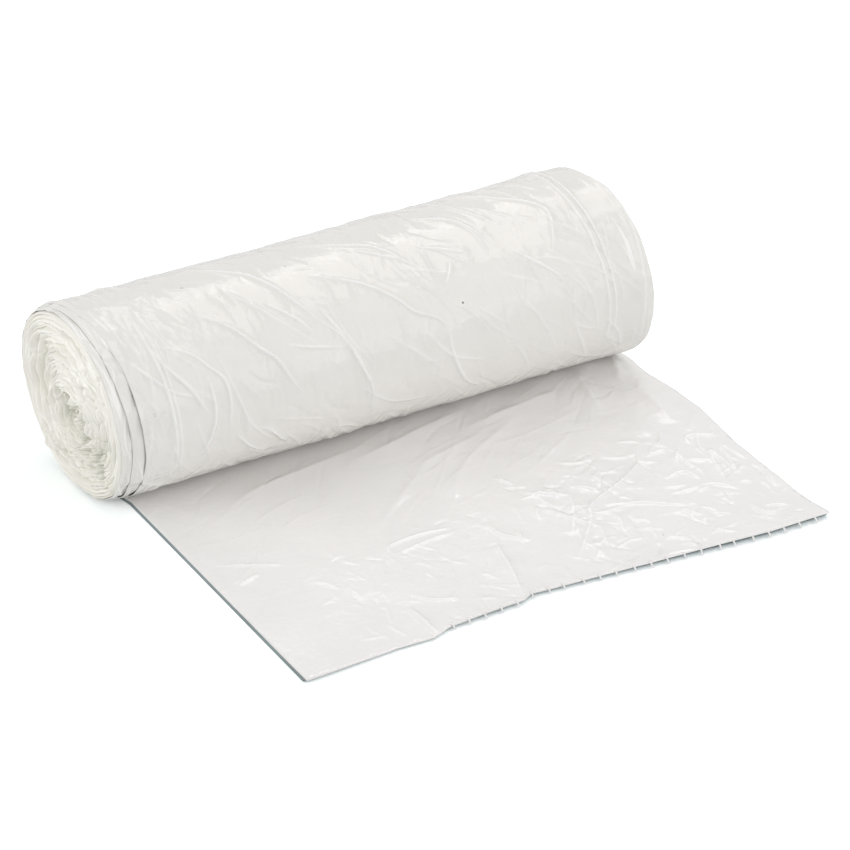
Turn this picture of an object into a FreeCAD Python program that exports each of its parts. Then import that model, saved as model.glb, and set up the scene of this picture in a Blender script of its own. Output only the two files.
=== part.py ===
"""A coreless roll of bin bags with its leading bag pulled out flat in front.

The whole object is one continuous web of film: a wide tube folded lengthwise into a band,
wound up with no core, and perforated across wherever one bag ends and the next begins.
It is therefore one solid. Its turns have slid sideways a little, so each bundle of turns is
the same width and stands a few millimetres further left or right than its neighbour.

Frame: +X along the roll, the open spiral that faces the viewer at -X; the leading bag runs
towards -Y; +Z up. The origin is on the floor, under the roll's axis, midway along the roll.
Places on the leading bag are given as (x, out), where out is the distance in front of the
roll's axis. Places on the roll's skin are given as (x, turn), where turn is the angle in
degrees from the top of the roll towards the front.
"""

import FreeCAD, Part

import math
import os

from FreeCAD import Vector

# The web, all sizes in millimetres
web_width = 254.0
web_thickness = 1.2
leaf_count = 3
leaf_step = 0.8

# The roll
roll_diameter = 87.5
flat_sag = 1.5
end_lean = 3.0

# How far right each outer wrap has slid, outermost first: at the roll's front and at its back
wrap_slides = [(8.5, -2.5), (3.0, -4.5), (-2.0, -5.5)]

# The inner turns, drawn as bundles of many plies
bundle_width = 4.2
eye_radius = 6.5
inner_slide = (-3.5, -1.5)
bundle_slide = 1.9
bundle_wander = 0.9
filler_slide = 1.2

# The collapsed centre that is left where the winding spindle was pulled out
eye_width = 4.5
eye_height = 15.0
eye_depth = 9.0
eye_turn = 24.0
core_recess = 4.0

# Tension folds on the roll's skin: start and end (x, turn), height and half width
skin_folds = [
    ((-112.0, 30.0), (-40.0, 92.0), 0.8, 5.0),
    ((-84.0, 22.0), (-44.0, 88.0), 0.9, 4.5),
    ((-72.0, -24.0), (-28.0, 50.0), 0.8, 5.0),
    ((-28.0, 46.0), (-4.0, 122.0), 0.8, 5.0),
    ((-24.0, -14.0), (32.0, 70.0), 0.7, 5.0),
    ((34.0, -8.0), (62.0, 36.0), 0.6, 5.0),
    ((64.0, -20.0), (92.0, 62.0), 0.8, 5.0),
    ((28.0, 66.0), (52.0, 124.0), 0.7, 5.0),
    ((-76.0, 96.0), (-50.0, 126.0), 0.7, 5.0),
]
skin_inset = 19.0
skin_start = -40.0
skin_end = 128.0
skin_rise = 0.4
skin_sink = 0.6
skin_depth = 3.0

# The leading bag on the floor
bag_length = 173.0
bag_slide = 12.8
neck_length = 22.0

# How far the torn front edge is drawn back at its two pleats, by distance from its left corner
front_draw = [(44.0, 2.0), (60.0, 1.5), (69.0, 5.0), (106.0, 7.0), (111.0, 10.0), (119.0, 9.5)]
front_straight = 30.0

# How far the right edge stands in from the web's full width, by distance from the front edge
side_draw = [(23.0, 1.0), (63.0, 1.8), (98.0, -1.2), (118.0, 0.3), (133.0, 2.8)]

# Perforation ties left standing on the torn edge
tie_pitch = 8.0
tie_width = 1.0
tie_length = 1.3
tie_inset = 6.0

# Soft folds that stand up from the flat bag: start and end (x, out), height and half width
bag_folds = [
    ((-98.0, 58.0), (60.0, 22.0), 0.9, 7.0),
    ((-30.0, 74.0), (100.0, 30.0), 1.5, 9.0),
    ((55.0, 122.0), (118.0, 34.0), 2.0, 8.0),
    ((121.0, 16.0), (126.0, 76.0), 3.0, 6.0),
    ((96.0, 118.0), (112.0, 92.0), 1.6, 7.0),
    ((129.0, 126.0), (132.0, 86.0), 2.0, 6.0),
    ((-38.0, 105.0), (-4.0, 110.0), 0.9, 7.0),
    ((-52.0, 170.0), (-46.0, 132.0), 1.5, 7.0),
    ((-6.0, 166.0), (6.0, 118.0), 1.2, 6.0),
    ((40.0, 134.0), (52.0, 98.0), 1.3, 7.0),
    ((120.0, 162.0), (124.0, 146.0), 1.3, 6.0),
]

# Size of the flat facets that the stiff film breaks into where it is creased
facet_size = 9.0

# Worked out from the sizes above
roll_radius = roll_diameter / 2
axis_height = roll_radius - flat_sag
foot_half = math.sqrt(roll_radius**2 - axis_height**2)
inner_radius = roll_radius - len(wrap_slides) * web_thickness
web_left = -web_width / 2
bag_left = web_left + bag_slide
bag_right = bag_left + web_width
leaf_thickness = web_thickness / leaf_count
beyond = 40.0
far_left = -web_width / 2 - beyond
prism_length = web_width + 2 * beyond


def edge_x(slide, y, z):
    """Where the web's leaning left edge stands when it has slid right by slide, front and back."""
    middle = (slide[0] + slide[1]) / 2
    across = (slide[1] - slide[0]) / 2 * y / roll_radius
    return web_left + middle + across - end_lean * (z - axis_height) / roll_radius


def web_room(slide):
    """The space that a web takes across the roll: from its leaning left edge to its right one."""
    reach = 2 * roll_radius
    places = [(-reach, reach), (reach, reach), (reach, -reach), (-reach, -reach), (-reach, reach)]
    corners = [
        Vector(edge_x(slide, y, axis_height + rise), y, axis_height + rise) for y, rise in places
    ]
    return Part.Face(Part.makePolygon(corners)).extrude(Vector(web_width, 0, 0))


def along_roll(face):
    """A long prism that carries a section of the roll past both of its ends."""
    return face.extrude(Vector(prism_length, 0, 0))


def disc(radius):
    """A round face across the roll's axis, at its far left."""
    centre = Vector(far_left, 0, axis_height)
    return Part.Face(Part.Wire(Part.makeCircle(radius, centre, Vector(1, 0, 0))))


def half_ring(inner, outer, centre_y, side):
    """Half of a ring across the roll's axis: the upper half for side 1, the lower for -1."""

    def at(radius, angle):
        y = centre_y + radius * math.cos(angle)
        return Vector(far_left, y, axis_height + radius * math.sin(angle))

    def arc(radius):
        half = side * math.pi / 2
        return Part.Arc(at(radius, 0), at(radius, half), at(radius, 2 * half)).toShape()

    ends = [
        Part.makeLine(at(inner, 0), at(outer, 0)),
        Part.makeLine(at(inner, math.pi), at(outer, math.pi)),
    ]
    edges = Part.__sortEdges__([arc(inner), ends[0], arc(outer), ends[1]])
    return Part.Face(Part.Wire(edges))


def bundle_room(turn, radius, side):
    """The room of one half turn: its edges run on from the last half turn into the next."""
    slides = []
    for joint in (turn, turn + 1):
        slow = bundle_slide * (1 + math.sin(1.15 * joint))
        slides.append(slow + bundle_wander * math.sin(2.6 * joint + 1))
    middle = sum(slides) / 2
    across = side * (slides[0] - slides[1]) / 2 * roll_radius / radius
    return web_room((inner_slide[0] + middle - across, inner_slide[1] + middle + across))


def inner_room(slide):
    """The room of the inner turns, slid further right by slide."""
    return web_room((inner_slide[0] + slide, inner_slide[1] + slide))


def wound_turns():
    """The inner turns as one spiral band, half a turn at a time, about two close centres."""
    centre = bundle_width / 4
    half_turns = int((inner_radius - centre - eye_radius) / (bundle_width / 2)) - 1
    pieces, covered = [], []
    for turn in range(half_turns):
        side = 1 if turn % 2 == 0 else -1
        inner = eye_radius + turn * bundle_width / 2
        ring = along_roll(half_ring(inner, inner + bundle_width, -side * centre, side))
        covered.append(ring)
        pieces.append(ring.common(bundle_room(turn, inner + bundle_width / 2, side)))
    rest = along_roll(disc(inner_radius))
    for ring in covered:
        rest = rest.cut(ring)
    for part in rest.Solids:
        outermost = part.BoundBox.YLength > 2 * (inner_radius - bundle_width)
        pieces.append(part.common(inner_room(filler_slide if outermost else core_recess)))
    return pieces


def outer_wraps():
    """The last wraps, each a sleeve of web that has slid further right at the front."""
    sleeves = []
    for index, slide in enumerate(wrap_slides):
        outer = roll_radius - index * web_thickness
        sleeve = along_roll(disc(outer)).cut(along_roll(disc(outer - web_thickness)))
        sleeves.append(sleeve.common(web_room(slide)))
    return sleeves


def eye(end):
    """The flattened hollow at the middle of one end: -1 for the left end, 1 for the right."""
    straight = (eye_height - eye_width) / 2
    radius = eye_width / 2
    top = Vector(0, 0, straight)
    foot = Vector(0, 0, -straight)
    side = Vector(0, radius, 0)
    outline = [
        Part.makeLine(foot + side, top + side),
        Part.Arc(top + side, top + Vector(0, 0, radius), top - side).toShape(),
        Part.makeLine(top - side, foot - side),
        Part.Arc(foot - side, foot - Vector(0, 0, radius), foot + side).toShape(),
    ]
    hollow = Part.Face(Part.Wire(outline)).extrude(Vector(eye_depth + beyond, 0, 0))
    hollow.rotate(Vector(0, 0, 0), Vector(1, 0, 0), eye_turn)
    left_face = web_left + sum(inner_slide) / 2 + core_recess
    start = left_face - beyond if end < 0 else left_face + web_width - eye_depth
    hollow.translate(Vector(start, 0, axis_height))
    return hollow


def relief(folds, x, v):
    """The height that a list of folds, each a long soft ridge, gives at one place."""
    lift = 0.0
    for (x0, v0), (x1, v1), height, half_width in folds:
        dx, dv = x1 - x0, v1 - v0
        length = math.hypot(dx, dv)
        along = ((x - x0) * dx + (v - v0) * dv) / length**2
        across = ((x - x0) * dv - (v - v0) * dx) / length
        fade = math.exp(-1.5 * (2 * along - 1) ** 4)
        lift += height * fade * math.exp(-((across / half_width) ** 2))
    return lift


def crumpled_solid(low, high, outer, inner):
    """A solid between two faceted sheets, outer(u, v) and inner(u, v), over a grid of (u, v)."""
    steps = [max(2, round((high[i] - low[i]) / facet_size)) for i in range(2)]

    def point(sheet, i, j):
        u = low[0] + (high[0] - low[0]) * i / steps[0]
        return sheet(u, low[1] + (high[1] - low[1]) * j / steps[1])

    def triangle(*corners):
        return Part.Face(Part.makePolygon(list(corners) + [corners[0]]))

    facets = []
    for i in range(steps[0]):
        for j in range(steps[1]):
            for sheet in (outer, inner):
                a, b = point(sheet, i, j), point(sheet, i + 1, j)
                c, d = point(sheet, i + 1, j + 1), point(sheet, i, j + 1)
                facets += [triangle(a, b, c), triangle(a, c, d)]
    rim = [(i, 0) for i in range(steps[0])] + [(steps[0], j) for j in range(steps[1])]
    rim += [(steps[0] - i, steps[1]) for i in range(steps[0])]
    rim += [(0, steps[1] - j) for j in range(steps[1])]
    for here, there in zip(rim, rim[1:] + rim[:1]):
        a, b = point(outer, *here), point(outer, *there)
        c, d = point(inner, *there), point(inner, *here)
        facets += [triangle(a, b, c), triangle(a, c, d)]
    solid = Part.Solid(Part.Shell(facets))
    if solid.Volume < 0:
        solid.reverse()
    return solid


def skin():
    """The folded outer ply over the top and front of the roll, sunk in again at its borders."""
    arc = math.radians(1) * roll_radius
    folds = [((x0, a0 * arc), (x1, a1 * arc), h, w) for (x0, a0), (x1, a1), h, w in skin_folds]
    middle = sum(wrap_slides[0]) / 2
    low = (middle + web_left + skin_inset, skin_start * arc)
    high = (middle - web_left - skin_inset, skin_end * arc)

    def at(x, v, radius):
        angle = v / roll_radius
        return Vector(x, -radius * math.sin(angle), axis_height + radius * math.cos(angle))

    def outer(x, v):
        inset = min(x - low[0], high[0] - x, v - low[1], high[1] - v)
        border = max(0.0, 1 - inset / facet_size)
        rise = skin_rise + relief(folds, x, v)
        return at(x, v, roll_radius + rise * (1 - border) - skin_sink * border)

    def inner(x, v):
        return at(x, v, roll_radius - skin_depth)

    return crumpled_solid(low, high, outer, inner)


def roll():
    """The wound roll: inner turns, outer wraps, folded skin, the eyes and the flat foot."""
    pieces = wound_turns() + outer_wraps() + [skin()]
    body = pieces[0].multiFuse(pieces[1:])
    body = body.cut(eye(-1)).cut(eye(1))
    below = Vector(far_left, -prism_length / 2, -prism_length)
    floor = Part.makeBox(prism_length, prism_length, prism_length, below)
    return body.cut(floor).removeSplitter()


def front_edge():
    """The torn front edge from its left corner to its right one, as (x, y) points."""
    pleats = [(bag_left + along, draw - bag_length) for along, draw in front_draw]
    corners = [(x, -bag_length) for x in (bag_left, bag_right - front_straight, bag_right)]
    return corners[:1] + pleats + corners[1:]


def front_edge_y(x):
    """Where the torn front edge lies at one x."""
    points = front_edge()
    for (x0, y0), (x1, y1) in zip(points, points[1:]):
        if x <= x1:
            return y0 + (y1 - y0) * (x - x0) / (x1 - x0)
    return points[-1][1]


def bag_outline(spread):
    """The leading bag seen from above, from its front edge to the back of the roll's foot.

    spread lets out the left edge, for a leaf that lies further out.
    """
    left = bag_left - spread
    foot_left = [(edge_x(wrap_slides[0], y, 0) - spread, y) for y in (-foot_half, foot_half)]
    points = [(left, -bag_length)] if spread else []
    points += front_edge()
    points += [(bag_right - draw, back - bag_length) for back, draw in side_draw]
    points += [(x + spread + web_width, y) for x, y in foot_left]
    points += foot_left[::-1] + [(left, -neck_length)]
    corners = [Vector(x, y, 0) for x, y in points]
    return Part.Face(Part.makePolygon(corners + corners[:1]))


def under_folds():
    """Everything below the leading bag's crumpled upper surface."""
    low = (bag_left - facet_size, -foot_half - facet_size)
    high = (bag_right + facet_size, bag_length + facet_size)

    def outer(x, out):
        return Vector(x, -out, web_thickness + relief(bag_folds, x, out))

    def inner(x, out):
        return Vector(x, -out, -beyond)

    return crumpled_solid(low, high, outer, inner)


def leading_bag():
    """The first bag: folded leaves that step out at the left edge, soft folds and torn ties."""
    top = bag_outline(0).extrude(Vector(0, 0, beyond / 2)).common(under_folds())
    leaves = []
    for leaf in range(1, leaf_count):
        height = Vector(0, 0, web_thickness - leaf * leaf_thickness)
        leaves.append(bag_outline(leaf_step * leaf).extrude(height))
    ties = []
    count = int((web_width - 2 * tie_inset) / tie_pitch) + 1
    for index in range(count):
        x = bag_left + tie_inset + index * tie_pitch
        corner = Vector(x - tie_width / 2, front_edge_y(x) - tie_length, 0)
        ties.append(Part.makeBox(tie_width, 2 * tie_length, leaf_thickness, corner))
    return top.multiFuse(leaves + ties)


def main():
    os.makedirs("parts", exist_ok=True)
    body = roll().fuse(leading_bag())
    print("bag_roll solids", len(body.Solids), "valid", body.isValid(), "volume", round(body.Volume))
    body.exportStep("parts/bag_roll.step")


main()
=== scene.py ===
import math

import bpy
import numpy as np
from mathutils import Matrix, Vector


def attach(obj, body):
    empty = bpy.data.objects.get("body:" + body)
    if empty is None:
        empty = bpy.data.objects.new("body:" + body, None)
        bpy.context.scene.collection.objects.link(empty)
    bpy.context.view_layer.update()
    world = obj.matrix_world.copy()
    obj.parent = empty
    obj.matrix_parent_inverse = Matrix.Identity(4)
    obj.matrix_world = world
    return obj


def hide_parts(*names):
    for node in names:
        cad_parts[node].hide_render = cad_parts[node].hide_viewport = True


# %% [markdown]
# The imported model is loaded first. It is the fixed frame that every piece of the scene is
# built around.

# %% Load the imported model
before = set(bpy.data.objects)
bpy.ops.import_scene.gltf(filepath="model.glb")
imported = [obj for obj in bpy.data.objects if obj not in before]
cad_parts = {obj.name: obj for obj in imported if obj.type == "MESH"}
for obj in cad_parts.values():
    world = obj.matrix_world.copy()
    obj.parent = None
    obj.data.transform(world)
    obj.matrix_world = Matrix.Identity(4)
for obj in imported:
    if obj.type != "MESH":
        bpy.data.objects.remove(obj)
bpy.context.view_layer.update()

# %% [markdown]
# The photograph looks down on the roll from its open left end, through a long lens. A camera
# can be placed by eye, but the outline of a round roll is very sensitive to the angle, so
# this one has the direction in which a true cylinder and a true rectangle of film meet the
# outlines in the picture.

# %% Camera
MM = 0.001
PICTURE = 850
FOCAL_PIXELS = 4141.8
SENSOR_MM = 36.0
CAMERA_PLACE = Vector((-787.1, -1343.0, 953.5)) * MM
CAMERA_YAW = math.radians(31.78)
CAMERA_DOWN = math.radians(31.64)
CAMERA_ROLL = math.radians(1.5)
NEAREST_SEEN = 0.05


def place_camera():
    """Points the camera along its yaw and downward angle, then rolls it a little."""
    ahead = Vector((
        math.sin(CAMERA_YAW) * math.cos(CAMERA_DOWN),
        math.cos(CAMERA_YAW) * math.cos(CAMERA_DOWN),
        -math.sin(CAMERA_DOWN),
    ))
    level = ahead.cross(Vector((0, 0, 1))).normalized()
    over = level.cross(ahead)
    right = level * math.cos(CAMERA_ROLL) + over * math.sin(CAMERA_ROLL)
    up = over * math.cos(CAMERA_ROLL) - level * math.sin(CAMERA_ROLL)
    lens = bpy.data.cameras.new("photo_camera")
    lens.sensor_width = SENSOR_MM
    lens.lens = FOCAL_PIXELS / PICTURE * SENSOR_MM
    lens.clip_start = NEAREST_SEEN
    camera = bpy.data.objects.new("photo_camera", lens)
    bpy.context.scene.collection.objects.link(camera)
    turn = Matrix((right, up, -ahead)).transposed().to_4x4()
    camera.matrix_world = Matrix.Translation(CAMERA_PLACE) @ turn
    bpy.context.scene.camera = camera
    return camera


camera = place_camera()
print("camera lens", round(camera.data.lens, 1), "mm")

# %% [markdown]
# A roll of bin bags is one long web of thin film: a wide tube that is folded lengthwise to a
# quarter of its width and wound up without a core. Everything visible is that one web, so
# the scene needs only a few sizes, in millimetres. They are the sizes of the solid model,
# and each piece below is worked out from them.

# %% Sizes of the web and the roll
WEB_WIDTH = 254.0
ROLL_RADIUS = 43.75
FLAT_SAG = 1.5
AXIS_HEIGHT = ROLL_RADIUS - FLAT_SAG
WEB_LEFT = -WEB_WIDTH / 2
END_LEAN = 3.0
WRAP_SLIDES = [(8.5, -2.5), (3.0, -4.5), (-2.0, -5.5)]
INNER_SLIDE = (-3.5, -1.5)


def edge_x(slide, y, z):
    """The left edge of a wrap that has slid right by slide (at the roll's front, at its back)."""
    middle = (slide[0] + slide[1]) / 2
    across = (slide[1] - slide[0]) / 2 * y / ROLL_RADIUS
    return WEB_LEFT + middle + across - END_LEAN * (z - AXIS_HEIGHT) / ROLL_RADIUS


def around(radius, turn):
    """Where a point at radius and turn lies across the roll; turn is from the top to the front."""
    y = -radius * np.sin(turn)
    z = AXIS_HEIGHT + radius * np.cos(turn)
    return y, z


print("roll", 2 * ROLL_RADIUS, "mm across, web", WEB_WIDTH, "mm wide")

# %% [markdown]
# Thin stiff film doesn't wrinkle like cloth. It stays in flat facets that meet in sharp
# creases, and where it is pulled it throws long straight tension folds. A cloth simulation
# gives rounder folds than that, so the relief is drawn instead, as heights over the flat web.
# It starts with slow swells, which are sums of waves, and small facets, which are sums of
# sharp zigzags whose lines are bent by the swells.

# %% Swells and facets
WAVE_FINENESS = (0.8, 2.0)
FACET_BEND = 0.45
FACET_WIDTHS = (1.2, 2.6)


def swell(u, v, size, seed, waves=7):
    """Slow random undulation between about -1 and 1, with bumps about size across."""
    rng = np.random.default_rng(seed)
    total = np.zeros(np.broadcast(u, v).shape)
    for _ in range(waves):
        heading, phase = rng.uniform(0, 2 * np.pi, 2)
        rate = 2 * np.pi / size / rng.uniform(*WAVE_FINENESS)
        total += np.sin(rate * (u * np.cos(heading) + v * np.sin(heading)) + phase)
    return total / math.sqrt(waves)


def facets(u, v, size, seed, folds=5):
    """Flat facets about size across that meet in sharp ridges and valleys, from about -1 to 1."""
    rng = np.random.default_rng(seed)
    bent_u = u + FACET_BEND * size * swell(u, v, 2.2 * size, seed + 1)
    bent_v = v + FACET_BEND * size * swell(u, v, 2.2 * size, seed + 2)
    total = np.zeros(np.broadcast(u, v).shape)
    for _ in range(folds):
        heading, phase = rng.uniform(0, 2 * np.pi, 2)
        wide = size * rng.uniform(*FACET_WIDTHS)
        along = (bent_u * np.cos(heading) + bent_v * np.sin(heading)) / wide + phase
        total += 4 * np.abs(along - np.floor(along) - 0.5) - 1
    return total / math.sqrt(folds)


trial = facets(*np.meshgrid(np.arange(0, 200, 4.0), np.arange(0, 200, 4.0)), 16, 1)
print("facets of unit height run from", round(trial.min(), 2), "to", round(trial.max(), 2))

# %% [markdown]
# A crease in film is a sharp ridge with a slower slope on one side, and its crest is painted
# pale, as a painted highlight for the glint of light along it. Creases could be sculpted, or
# faked with a bump. Here each one is a line of a few points that lifts the grid near it, so it
# is real relief in the mesh, it can follow the photograph, and one function serves the roll,
# its ends and the leading bag.

# %% Creases
HIGHLIGHT_FROM_RISE = 0.22
HIGHLIGHT_GAIN = 1.4
HIGHLIGHT_WIDTH = 0.46
CREASE_FADE = 0.8
REACH_WIDTHS = 4


def smooth_line(points, pieces=6):
    """A rounded line through a few points, as straight bits."""
    p = np.array(points, float)
    if len(p) == 2:
        return p
    p = np.vstack([2 * p[0] - p[1], p, 2 * p[-1] - p[-2]])
    line = []
    for a, b, c, d in zip(p, p[1:], p[2:], p[3:]):
        for t in np.arange(pieces) / pieces:
            straight = 2 * b + (c - a) * t
            bend = (2 * a - 5 * b + 4 * c - d) * t**2 + (3 * b - a - 3 * c + d) * t**3
            line.append((straight + bend) / 2)
    return np.array(line + [p[-2]])


def unmarked(height):
    """A relief of these heights with no painted highlight yet."""
    return height, np.zeros(np.shape(height))


def draw_crease(relief, u, v, points, rise, wide, narrow, crest=0.15):
    """Adds one crease along a line of points to relief, a pair of height and painted highlight.

    It is a sharp ridge as wide as narrow. Where the line runs towards +u, the film also
    rises to the ridge from -v, more slowly, over the distance wide. A painted highlight, a
    paler colour for the glint of light, lies along the ridge.
    """
    height, pale = relief
    line = smooth_line(points)
    reach = REACH_WIDTHS * max(wide, narrow)
    near = (u > line[:, 0].min() - reach) & (u < line[:, 0].max() + reach)
    near &= (v > line[:, 1].min() - reach) & (v < line[:, 1].max() + reach)
    if not near.any():
        return
    pu, pv = u[near], v[near]
    bits = np.diff(line, axis=0)
    lengths = np.hypot(bits[:, 0], bits[:, 1])
    before = np.concatenate([[0], np.cumsum(lengths)])
    best = np.full(pu.shape, np.inf)
    side, at = np.ones(pu.shape), np.zeros(pu.shape)
    for start, bit, length, done in zip(line, bits, lengths, before):
        du, dv = pu - start[0], pv - start[1]
        t = np.clip((du * bit[0] + dv * bit[1]) / length**2, 0, 1)
        gap = np.hypot(du - t * bit[0], dv - t * bit[1])
        closer = gap < best
        best = np.where(closer, gap, best)
        side = np.where(closer, np.sign(du * bit[1] - dv * bit[0]), side)
        at = np.where(closer, (done + t * length) / before[-1], at)
    foot = np.where(side > 0, wide, narrow)
    gap = np.sqrt(best**2 + crest**2) - crest
    fade = np.clip(np.sin(np.pi * at), 0, 1) ** CREASE_FADE
    height[near] += rise * fade * (0.5 * np.exp(-gap / narrow) + 0.5 * np.exp(-gap / foot))
    # Painted highlight: the crest gets a paler colour that stands in for the glint of light on it.
    highlight_strength = min(max(rise - HIGHLIGHT_FROM_RISE, 0) * HIGHLIGHT_GAIN, 1)
    pale[near] = np.maximum(pale[near], highlight_strength * fade * np.exp(-((best / HIGHLIGHT_WIDTH) ** 2)))


CREASE_BOW = 0.25
HOLLOW_SHARE = 0.3
STEEP_WIDTHS = (0.35, 0.8)


def draw_scatter(relief, u, v, box, count, heading, lengths, rises, widths, seed):
    """Adds many small creases at random places in box, all running roughly along heading.

    heading is a mean and a spread in degrees. The rest are ranges, and HOLLOW_SHARE of the
    creases are valleys.
    """
    rng = np.random.default_rng(seed)
    (u0, v0), (u1, v1) = box
    for _ in range(count):
        a = np.array([rng.uniform(u0, u1), rng.uniform(v0, v1)])
        turn = math.radians(rng.normal(*heading))
        step = np.array([math.cos(turn), math.sin(turn)]) * rng.uniform(*lengths) / 2
        sideways = np.array([-step[1], step[0]]) * rng.uniform(-CREASE_BOW, CREASE_BOW)
        points = [a - step, a + sideways, a + step]
        rise = rng.uniform(*rises) * rng.choice([-1, 1], p=[HOLLOW_SHARE, 1 - HOLLOW_SHARE])
        feet = rng.uniform(*widths), rng.uniform(*STEEP_WIDTHS)
        draw_crease(relief, u, v, points, rise, *feet)


places = np.linspace(-6, 6, 121)[None, :]
trial = unmarked(np.zeros(places.shape))
draw_crease(trial, np.zeros(places.shape), places, [(-9, 0), (9, 0)], 1.0, 2.0, 0.5)
print("a crease of 1 mm rises", round(trial[0].max(), 2), "mm and is", round(trial[1].max(), 2), "pale")

# %% [markdown]
# Every piece of film is a hand-built closed surface: a row of loops, like the hoops of a
# tube. For a sheet, each loop runs along the outer face and comes back just behind it, so
# that the sheet is a thin solid with certain normals. A grid with a wall added by a modifier
# would do too, but this way the hidden inner face gets only half the points.

# %% Tubes of loops
def tube(loops, ring=False, outside=0):
    """Points and faces of a surface through loops; ring joins the last loop to the first.

    The loops of a sheet have an odd number of points outside, then half as many behind them,
    and its two ends are closed through its thickness.
    """
    index = np.arange(loops.shape[0] * loops.shape[1]).reshape(loops.shape[:2])
    rows = np.vstack([index, index[:1]]) if ring else index
    rows = np.hstack([rows, rows[:, :1]])
    corners = [rows[:-1, :-1], rows[1:, :-1], rows[1:, 1:], rows[:-1, 1:]]
    faces = np.stack(corners, -1).reshape(-1, 4).tolist()
    if outside:
        for row, order in ((index[0], -1), (index[-1], 1)):
            for j in range(outside // 2):
                far = outside - 1 - 2 * j
                rim = [row[far], row[far - 1], row[far - 2], row[outside + j + 1], row[outside + j]]
                faces.append([int(corner) for corner in rim[::order]])
    elif not ring:
        faces += [index[0].tolist(), index[-1, ::-1].tolist()]
    return loops.reshape(-1, 3), faces


print("a tube of 4 loops of 6 points has", len(tube(np.zeros((4, 6, 3)))[1]), "faces")

# %% [markdown]
# The face that shows gets a very fine grid for its sharp creases. Afterwards the flattest
# triangles are merged again, which leaves the creases as they are and keeps the mesh light.
# A uniform grid that is light enough would blunt every crease. Marks for the material, such
# as where a painted highlight lies, are written on the points before that.

# %% Pieces of film
FINE = 1.0
MOST_TRIANGLES = 190000


def film_piece(name, tubes, **marks):
    """One piece of the scene from tubes in millimetres, with its faces turned outwards.

    marks are values at each point, by name, for the material to use.
    """
    points, faces = [], []
    for spots, quads in tubes:
        p = spots[np.array([q for q in quads if len(q) == 4])] - spots.mean(0)
        volume = np.einsum("ij,ij->", p[:, 0], np.cross(p[:, 1] - p[:, 3], p[:, 2] - p[:, 0]))
        if volume < 0:
            quads = [q[::-1] for q in quads]
        base = sum(len(spots) for spots in points)
        points.append(spots)
        faces += [[corner + base for corner in q] for q in quads]
    mesh = bpy.data.meshes.new(name)
    mesh.from_pydata((np.concatenate(points) * MM).tolist(), [], faces)
    mesh.polygons.foreach_set("use_smooth", np.ones(len(faces), bool))
    for mark, values in marks.items():
        layer = mesh.attributes.new(mark, "FLOAT", "POINT")
        layer.data.foreach_set("value", values.ravel().astype(np.float32))
    piece = bpy.data.objects.new(name, mesh)
    bpy.context.scene.collection.objects.link(piece)
    count = sum(len(face) - 2 for face in faces)
    if count > MOST_TRIANGLES:
        bpy.ops.object.select_all(action="DESELECT")
        bpy.context.view_layer.objects.active = piece
        thinner = piece.modifiers.new("merge_flat", "DECIMATE")
        thinner.ratio = MOST_TRIANGLES / count
        bpy.ops.object.modifier_apply(modifier=thinner.name)
        piece.data.polygons.foreach_set("use_smooth", np.ones(len(piece.data.polygons), bool))
    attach(piece, "root")
    print(name, count, "triangles drawn,", len(piece.data.polygons), "faces kept")
    return piece


def steps(*stretches):
    values = [np.arange(a, b, gap * FINE) for a, b, gap in stretches]
    return np.concatenate(values + [[stretches[-1][1]]])


print("grid spacing is", FINE, "times the finest, and a piece has", MOST_TRIANGLES, "triangles at most")

# %% [markdown]
# The outermost wrap is what gives the roll its look: long creases run down it at a slant,
# from where the film was pulled while it was wound, and two rings of double creases near the
# ends show where the folded edges of the plies lie underneath. The lines are given as the
# place along the roll and the turn from its top towards its front, in degrees, each with its
# rise and the width of its slow side. Small random creases fill the places between them.

# %% Creases on the outermost wrap
DEGREE = math.radians(1) * ROLL_RADIUS
LONG_CREASES = [
    ([(-80, 27), (-70, 37), (-60, 53), (-53, 62), (-48, 75), (-43, 85)], 0.75, 4.5),
    ([(-107, 38), (-103, 50), (-95, 65), (-88, 82)], 0.7, 4.0),
    ([(-118, 42), (-110, 55), (-105, 62)], 0.5, 3.0),
    ([(-105, 37), (-92, 45), (-85, 55), (-78, 68), (-78, 95)], 0.45, 3.5),
    ([(-86, 60), (-85, 80), (-87, 95), (-92, 110)], 0.5, 3.0),
    ([(-70, -17), (-60, -3), (-50, 8), (-42, 22), (-36, 35), (-28, 50)], 0.6, 4.5),
    ([(-30, 46), (-20, 62), (-14, 80), (-9, 95), (-7, 115)], 0.65, 4.0),
    ([(-27, 42), (-20, 60)], 0.4, 2.0),
    ([(-20, -10), (-5, 3), (10, 12), (20, 28), (28, 37)], 0.5, 4.0),
    ([(-25, 20), (-10, 30), (0, 38), (8, 47), (15, 57), (25, 64), (30, 72)], 0.6, 4.0),
    ([(0, 10), (20, 27)], 0.4, 3.0),
    ([(35, -5), (48, 5), (55, 15), (62, 30)], 0.5, 3.5),
    ([(65, -17), (78, 0), (88, 9), (95, 20), (92, 35), (88, 48)], 0.55, 3.0),
    ([(70, 38), (78, 48), (85, 56), (90, 63)], 0.5, 3.0),
    ([(40, 35), (34, 47)], 0.35, 2.0),
    ([(-50, 30), (-40, 42), (-33, 53)], 0.45, 3.0),
    ([(-48, 55), (-38, 60), (-20, 66)], 0.3, 2.5),
    ([(-60, 100), (-48, 120)], 0.45, 3.0),
    ([(-75, 100), (-65, 115), (-55, 125)], 0.45, 3.0),
    ([(30, 72), (32, 90), (40, 110), (50, 122)], 0.4, 4.0),
    ([(28, 20), (50, 33)], 0.35, 3.0),
]
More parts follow.
